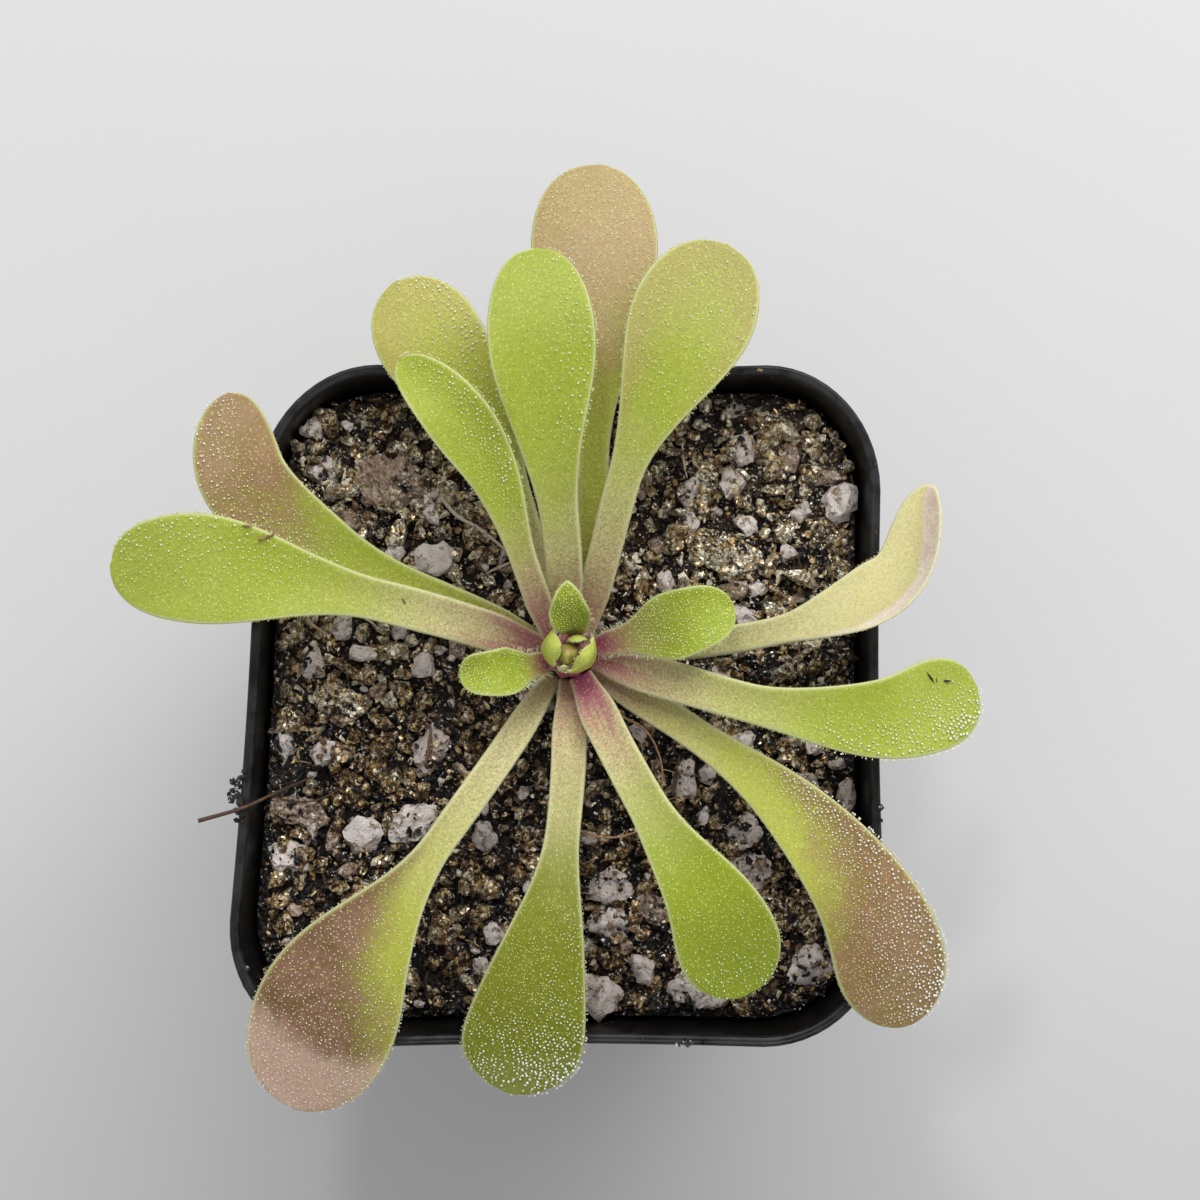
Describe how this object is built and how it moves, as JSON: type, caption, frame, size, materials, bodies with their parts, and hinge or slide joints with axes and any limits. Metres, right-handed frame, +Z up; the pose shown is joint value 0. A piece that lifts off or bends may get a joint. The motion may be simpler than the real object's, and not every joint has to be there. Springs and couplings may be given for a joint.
{
  "type": "potted pinguicula laxifolia",
  "caption": "Butterwort rosette of long-stalked, spoon-shaped sticky leaves, green and pink, in a small black square nursery pot of gritty soil.",
  "frame": {"origin": "the middle of the pot's flat underside, which rests on the table", "axes": "+Z up; +X to the right and +Y to the back, as the reference view from above shows them"},
  "size_m": [0.0981, 0.1078, 0.0862],
  "materials": {
    "pot_plastic": "moulded black plastic, satin, lightly scuffed",
    "soil_mix": "damp gritty peat with perlite, vermiculite and bark",
    "crown_tissue": "fleshy purple stem, smooth",
    "green_leaf": "soft yellow-green leaf, covered with fine stalked glands that carry clear drops",
    "blushed_leaf": "soft leaf flushed pink-brown over green, covered with fine stalked glands that carry clear drops",
    "perlite": "pale porous lumps, matt",
    "vermiculite": "golden layered flakes with a soft shine",
    "bark": "dry brown bark and needle, matt"
  },
  "bodies": {
    "root": {"pot": "pot_plastic", "soil": "soil_mix", "crown": "crown_tissue", "leaf_back_lower": "blushed_leaf", "leaf_back_upper": "green_leaf", "leaf_back_right": "green_leaf", "leaf_back_left_lower": "blushed_leaf", "leaf_back_left_upper": "green_leaf", "leaf_left_back": "blushed_leaf", "leaf_left": "green_leaf", "leaf_front_left": "blushed_leaf", "leaf_front": "green_leaf", "leaf_front_right_upper": "green_leaf", "leaf_front_right_lower": "blushed_leaf", "leaf_right": "green_leaf", "leaf_right_back": "blushed_leaf", "young_leaf_left": "green_leaf", "young_leaf_right": "green_leaf", "young_leaf_back": "green_leaf", "bud_leaf_left": "green_leaf", "bud_leaf_right": "green_leaf", "bud_leaf_back": "green_leaf", "bud_leaf_front": "green_leaf", "bud_tip": "green_leaf", "perlite_1": "perlite", "perlite_2": "perlite", "perlite_3": "perlite", "perlite_4": "perlite", "perlite_5": "perlite", "perlite_6": "perlite", "perlite_7": "perlite", "perlite_8": "perlite", "perlite_9": "perlite", "perlite_10": "perlite", "perlite_11": "perlite", "perlite_12": "perlite", "perlite_13": "perlite", "perlite_14": "perlite", "perlite_15": "perlite", "perlite_16": "perlite", "perlite_17": "perlite", "perlite_18": "perlite", "vermiculite_1": "vermiculite", "vermiculite_2": "vermiculite", "vermiculite_3": "vermiculite", "vermiculite_4": "vermiculite", "vermiculite_5": "vermiculite", "vermiculite_6": "vermiculite", "bark_1": "bark", "bark_2": "bark", "fallen_needle": "bark"}
  },
  "joints": []
}
